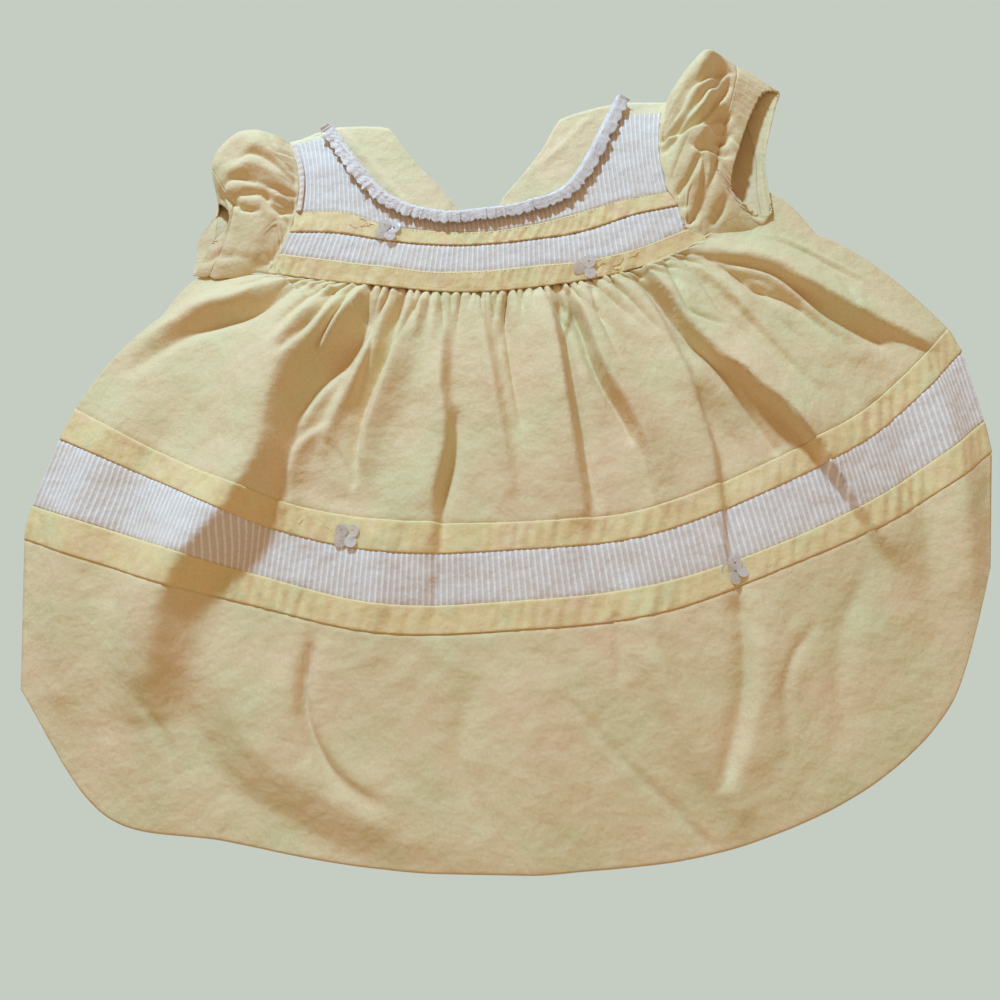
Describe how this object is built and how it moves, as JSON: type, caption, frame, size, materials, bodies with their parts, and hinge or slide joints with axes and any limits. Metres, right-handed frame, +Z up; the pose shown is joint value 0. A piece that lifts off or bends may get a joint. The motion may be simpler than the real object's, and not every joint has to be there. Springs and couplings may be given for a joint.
{
  "type": "baby dress",
  "caption": "Yoked cotton baby dress with puff sleeves, gathered skirt, tucked insertion bands and a lace neck edging, laid flat on its back with the front showing.",
  "frame": {"origin": "the middle of the laid-out dress's box, on the surface that it lies on", "axes": "+X to the wearer's left, across the dress; +Y from hem to neck; +Z up from the surface, out of the front"},
  "size_m": [0.452, 0.376, 0.0349],
  "materials": {
    "yellow_cotton": "plain-woven cream-yellow cotton lawn, matt",
    "band_cotton": "doubled cream-yellow cotton lawn, matt, lightly puckered",
    "tucked_voile": "white cotton voile with fine raised tucks, matt",
    "lace": "gathered white cotton lace, matt",
    "piping": "folded pinkish white cotton binding",
    "clear_sequin": "clear glossy round sequins"
  },
  "bodies": {
    "root": {"skirt_front_upper": "yellow_cotton", "skirt_band_upper": "band_cotton", "skirt_insert": "tucked_voile", "skirt_band_lower": "band_cotton", "skirt_front_lower": "yellow_cotton", "skirt_back": "yellow_cotton", "yoke_band_lower": "band_cotton", "yoke_insert": "tucked_voile", "yoke_band_upper": "band_cotton", "yoke_upper": "tucked_voile", "back_bodice_right": "yellow_cotton", "back_bodice_left": "yellow_cotton", "sleeve_right": "yellow_cotton", "sleeve_left": "yellow_cotton", "cuff_right": "yellow_cotton", "cuff_left": "yellow_cotton", "lace_edging": "lace", "armhole_piping_right": "piping", "sequins_yoke_right": "clear_sequin", "sequins_yoke_left": "clear_sequin", "sequins_skirt_right": "clear_sequin", "sequins_skirt_left": "clear_sequin"}
  },
  "joints": []
}
